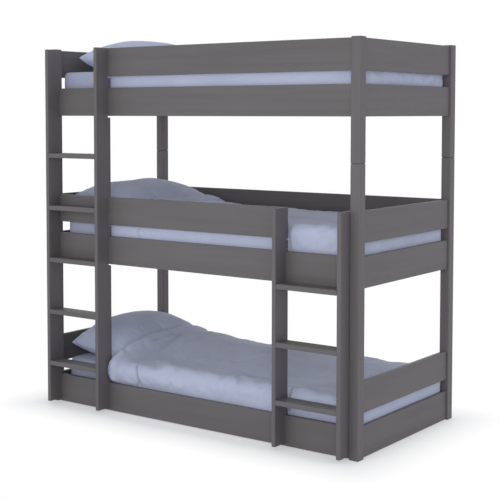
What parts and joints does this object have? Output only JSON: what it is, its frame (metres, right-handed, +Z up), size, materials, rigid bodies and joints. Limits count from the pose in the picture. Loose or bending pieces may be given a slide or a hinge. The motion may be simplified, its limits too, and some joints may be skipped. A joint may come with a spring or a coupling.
{
  "type": "triple bunk bed",
  "caption": "Grey painted timber triple bunk bed: stacked single beds with guard rails, two fixed front ladders, slatted bases, mattresses, pillows and duvets.",
  "frame": {"origin": "on the floor, under the middle of the whole object's bounding box", "axes": "+X runs along the beds from the pillow end to the foot end, +Y from the ladder side to the back, +Z up"},
  "size_m": [1.99, 1.0536, 2.0189],
  "materials": {
    "grey_paint": "satin grey paint over smooth timber board",
    "zinc_steel": "zinc-plated steel bar",
    "bare_pine": "bare sanded softwood with webbing tapes",
    "fitted_sheet": "pale blue-grey cotton sheet stretched over foam",
    "pillowcase": "pale blue-grey cotton pillowcase",
    "duvet_cover": "pale blue-grey cotton duvet cover"
  },
  "bodies": {
    "frame": {"lower_post_front_left": "grey_paint", "upper_post_front_left": "grey_paint", "lower_post_front_right": "grey_paint", "upper_post_front_right": "grey_paint", "lower_post_rear_left": "grey_paint", "upper_post_rear_left": "grey_paint", "lower_post_rear_right": "grey_paint", "upper_post_rear_right": "grey_paint", "post_dowel_front_left": "zinc_steel", "post_dowel_front_right": "zinc_steel", "post_dowel_rear_left": "zinc_steel", "post_dowel_rear_right": "zinc_steel", "bottom_front_side_rail": "grey_paint", "bottom_rear_side_rail": "grey_paint", "middle_front_side_rail": "grey_paint", "middle_rear_side_rail": "grey_paint", "top_front_side_rail": "grey_paint", "top_rear_side_rail": "grey_paint", "bottom_head_lower_board": "grey_paint", "bottom_head_upper_board": "grey_paint", "bottom_foot_lower_board": "grey_paint", "bottom_foot_upper_board": "grey_paint", "middle_front_guard_rail": "grey_paint", "middle_rear_guard_rail": "grey_paint", "middle_head_lower_board": "grey_paint", "middle_head_upper_board": "grey_paint", "middle_foot_lower_board": "grey_paint", "middle_foot_upper_board": "grey_paint", "top_front_guard_rail": "grey_paint", "top_rear_guard_rail": "grey_paint", "top_head_lower_board": "grey_paint", "top_head_upper_board": "grey_paint", "top_foot_lower_board": "grey_paint", "top_foot_upper_board": "grey_paint", "tall_ladder_left_stile": "grey_paint", "tall_ladder_right_stile": "grey_paint", "tall_ladder_tread_1": "grey_paint", "tall_ladder_tread_2": "grey_paint", "tall_ladder_tread_3": "grey_paint", "tall_ladder_tread_4": "grey_paint", "tall_ladder_tread_5": "grey_paint", "short_ladder_left_stile": "grey_paint", "short_ladder_right_stile": "grey_paint", "short_ladder_tread_1": "grey_paint", "short_ladder_tread_2": "grey_paint", "short_ladder_tread_3": "grey_paint", "bottom_slat_roll": "bare_pine", "middle_slat_roll": "bare_pine", "top_slat_roll": "bare_pine"},
    "bottom_mattress": {"bottom_mattress": "fitted_sheet"},
    "bottom_pillow": {"bottom_pillow": "pillowcase"},
    "bottom_duvet": {"bottom_duvet": "duvet_cover"},
    "middle_mattress": {"middle_mattress": "fitted_sheet"},
    "middle_pillow": {"middle_pillow": "pillowcase"},
    "middle_duvet": {"middle_duvet": "duvet_cover"},
    "top_mattress": {"top_mattress": "fitted_sheet"},
    "top_pillow": {"top_pillow": "pillowcase"},
    "top_duvet": {"top_duvet": "duvet_cover"}
  },
  "joints": [
    {"name": "bottom_mattress_lift", "type": "slide", "parent": "frame", "child": "bottom_mattress", "axis": [0, 0, 1], "range_m": [0, 0.15]},
    {"name": "bottom_pillow_lift", "type": "slide", "parent": "bottom_mattress", "child": "bottom_pillow", "axis": [0, 0, 1], "range_m": [0, 0.08]},
    {"name": "bottom_duvet_lift", "type": "slide", "parent": "bottom_pillow", "child": "bottom_duvet", "axis": [0, 0, 1], "range_m": [0, 0.09]},
    {"name": "middle_mattress_lift", "type": "slide", "parent": "frame", "child": "middle_mattress", "axis": [0, 0, 1], "range_m": [0, 0.16]},
    {"name": "middle_pillow_lift", "type": "slide", "parent": "middle_mattress", "child": "middle_pillow", "axis": [0, 0, 1], "range_m": [0, 0.09]},
    {"name": "middle_duvet_lift", "type": "slide", "parent": "middle_pillow", "child": "middle_duvet", "axis": [0, 0, 1], "range_m": [0, 0.1]},
    {"name": "top_mattress_lift", "type": "slide", "parent": "frame", "child": "top_mattress", "axis": [0, 0, 1], "range_m": [0, 0.3]},
    {"name": "top_pillow_lift", "type": "slide", "parent": "top_mattress", "child": "top_pillow", "axis": [0, 0, 1], "range_m": [0, 0.15]},
    {"name": "top_duvet_lift", "type": "slide", "parent": "top_pillow", "child": "top_duvet", "axis": [0, 0, 1], "range_m": [0, 0.15]}
  ]
}
